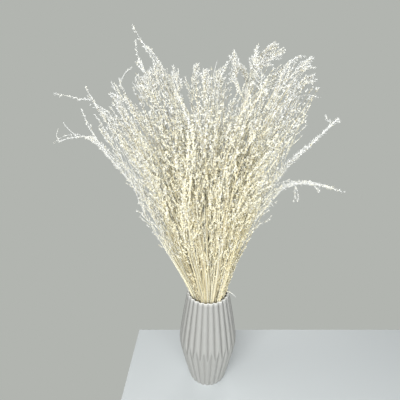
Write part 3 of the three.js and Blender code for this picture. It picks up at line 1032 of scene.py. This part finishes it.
def standing_stems(spray, random):
    """Paths of the plumed stems, their rings' shares, which of them stray, and paths of the bare ones."""
    stray = spray["stray"]
    ends = np.append(1, random.uniform(*SHORT_STEMS, PLUMED_STEMS - 1))
    strays = np.zeros(PLUMED_STEMS, bool)
    if stray:
        strays = np.arange(PLUMED_STEMS) < stray["stems"]
        short = stray["from"] + (1 - stray["from"]) * random.uniform(*stray["short"], PLUMED_STEMS)
        ends = np.where(strays, np.append(STRAY_TIP, short[1:]), ends)
    spots = np.append(MIDDLE_SPOT, np.sqrt(random.uniform(*PLUMED_SPOTS, PLUMED_STEMS - 1)))
    first_side = 2 * np.pi * draw(spray["k"], "sides")
    sides = first_side + GOLDEN_ANGLE * np.arange(PLUMED_STEMS + BARE_STEMS)
    shares = ring_shares(spray, ends, STEM_RINGS)
    plumed = stem_paths(spray, shares, spots, sides[:PLUMED_STEMS], strays)
    bare_spots = np.sqrt(random.uniform(*BARE_SPOTS, BARE_STEMS))
    bare_shares = ring_shares(spray, random.uniform(*BARE_ENDS, BARE_STEMS), BARE_RINGS)
    return plumed, shares, strays, stem_paths(spray, bare_shares, bare_spots, sides[PLUMED_STEMS:])


def edge_stems(spray, random):
    """Paths of bare stems that fan out on the outer side of a spray."""
    sides = np.pi / 2 + random.uniform(-1, 1, EDGE_STEMS) * EDGE_FANNING
    shares = ring_shares(spray, random.uniform(*EDGE_ENDS, EDGE_STEMS), BARE_RINGS)
    return stem_paths(spray, shares, random.uniform(*EDGE_SPOTS, EDGE_STEMS), sides)


print("bare stems at an edge spray:", BARE_STEMS + EDGE_STEMS)

# %% The plumes, and all arrays together
STRAY_FLORETS = 170
FLORETS_FROM = 0.08
EDGE_DISC = 0.82
FLUFFY_EDGE = 0.5
EDGE_FLORETS = 14
EDGE_FLORETS_FROM = 0.3
RIM_FLUFF_DISC = 0.1
RIM_FLORETS = 9
RIM_FLORETS_FROM = 0.34
STEM_SLIM = 0.4
STRAY_SLIM = 0.7
BARE_RADII = (STEM_RADIUS * 1.2, STEM_RADIUS * 0.6)


def plumes_on(spray, plumed, shares, strays, random):
    """Lists of the stems' side branches and of the florets that straying stems carry themselves."""
    side = "left" if spray["disc"][0] < 0 else "right"
    plume_start = PLUME_STARTS[side] + PLUME_START_SPREAD * (draw(spray["k"], "plume") - 0.5)
    lengths = BRANCH_LENGTHS["side" if abs(spray["disc"][0]) > SIDE_DISC else "middle"]
    parts = np.linspace(0, 1, STEM_RINGS)
    branches, florets = [], []
    for path, share, astray in zip(plumed, shares, strays):
        longest = np.interp(path[:, 2], BRANCH_HEIGHTS, lengths)
        if astray:
            stray = spray["stray"]
            part_out = np.interp(stray["from"], share, parts)
            longest = np.where(parts > part_out, stray["branch"] * MM, longest)
            count = int(STRAY_FLORETS * (1 - part_out))
            florets.append(florets_on(path[None], part_out, count, random, stray.get("bloom", 1)))
        start = np.interp(max(plume_start, LOWEST_PLUME), path[:, 2], parts)
        branches.append(branches_on(path, start, longest, BRANCHES_PER_STEM, random))
    return branches, florets


def spray_arrays(spray):
    """All corners and triangles of one spray, and each corner's bleach and painted light."""
    random = np.random.default_rng(SEED + spray["k"])
    plumed, shares, strays, bare = standing_stems(spray, random)
    branches, florets = plumes_on(spray, plumed, shares, strays, random)
    made = [tubes_with_bleach_and_light("stem", bare, *BARE_RADII, random)]
    for kind, paths, slim in (("stem", plumed[~strays], STEM_SLIM), ("fork", plumed[strays], STRAY_SLIM)):
        if len(paths):
            made.append(tubes_with_bleach_and_light(kind, paths, STEM_RADIUS, STEM_RADIUS * slim, random))
    if np.linalg.norm(spray["disc"]) > EDGE_DISC:
        edge = edge_stems(spray, random)
        made.append(tubes_with_bleach_and_light("stem", edge, *BARE_RADII, random))
        if abs(spray["disc"][0]) > FLUFFY_EDGE:
            florets.append(florets_on(edge, EDGE_FLORETS_FROM, EDGE_FLORETS, random))
    if spray["disc"][0] > RIM_FLUFF_DISC:
        florets.append(florets_on(bare, RIM_FLORETS_FROM, RIM_FLORETS, random))
    for kind, path in fork_paths.get(spray["k"], []):
        fork = FORK_KINDS[kind]
        slim = fork["thick"] * FORK_SLIM
        made.append(tubes_with_bleach_and_light("fork", path[None], fork["thick"], slim, random))
        if "branches" in fork:
            branches.append(branches_on(path, 0, fork["longest"], fork["branches"], random))
            florets.append(florets_on(path[None], FORK_FLORETS_FROM, fork["florets"], random))
    branches = np.concatenate(branches)
    zone = "outer" if np.linalg.norm(spray["disc"]) > OUTER_DISC else "inner"
    florets.append(florets_on(branches, FLORETS_FROM, FLORETS_PER_BRANCH[zone], random))
    made.append(tubes_with_bleach_and_light("branch", branches, BRANCH_RADIUS, BRANCH_RADIUS, random))
    for arms in florets:
        made.append(with_bleach_and_light("floret", len(arms[0]) // (ARM_SIDES + 1), arms, random))
    points, triangles, bleached = join(made)
    return points, triangles, {"bleached": bleached}


print("corners of the first spray:", len(spray_arrays(bunch[0])[0]))

# %% [markdown]
# ## Dried grass
#
# Dried star grass is straw yellow on its stems and bleaches to cream and nearly white on the florets.
# The sides and top of the fan are paler still, partly from bleach and partly as painted light. Each
# corner's value comes from the mesh. A ramp turns it into colour, with a dark end that paints shade on
# the stems and branches high in the fan, between the top florets, and slow noise keeps neighbouring
# sprays from looking alike.

# %% Dried grass material
# The first stop is painted shade, worn by the stems and branches high in the fan.
GRASS_STOPS = [
    (0.0, (0.13, 0.125, 0.105)),
    (0.3, (0.6, 0.52, 0.32)),
    (0.5, (0.83, 0.765, 0.52)),
    (0.7, (0.79, 0.765, 0.61)),
    (1.0, (0.65, 0.66, 0.645)),
]
PATCHES = {"Scale": 30, "Detail": 2}
PATCH_MIDDLE = 0.5
PATCH_BLEACH = 0.5
GRASS_ROUGHNESS = 0.75
PATCH_ROUGHNESS = 0.2

straw_colour = GRASS_STOPS[2][1]
grass, grass_shader, start = new_material("dried_grass", straw_colour)
place = start.node("ShaderNodeTexCoord", output="Object")
bleached = start.node("ShaderNodeAttribute", {"attribute_name": "bleached"}, output="Fac")
patches = start.node("ShaderNodeTexNoise", inputs={"Vector": place, **PATCHES})
feed(grass_shader, "Base Color", (bleached + (patches - PATCH_MIDDLE) * PATCH_BLEACH).ramp(GRASS_STOPS))
feed(grass_shader, "Roughness", GRASS_ROUGHNESS + patches * PATCH_ROUGHNESS)
print("grass nodes:", len(grass.node_tree.nodes))

# %% Every spray as a piece
total = 0
for node_name, spray in zip(spray_nodes, bunch):
    piece = make_piece(node_name.replace("spray", "star_grass"), *spray_arrays(spray))
    piece.data.materials.append(grass)
    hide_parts(node_name)
    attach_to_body(piece, "root")
    total += triangle_count(piece)
print("grass triangles:", total)
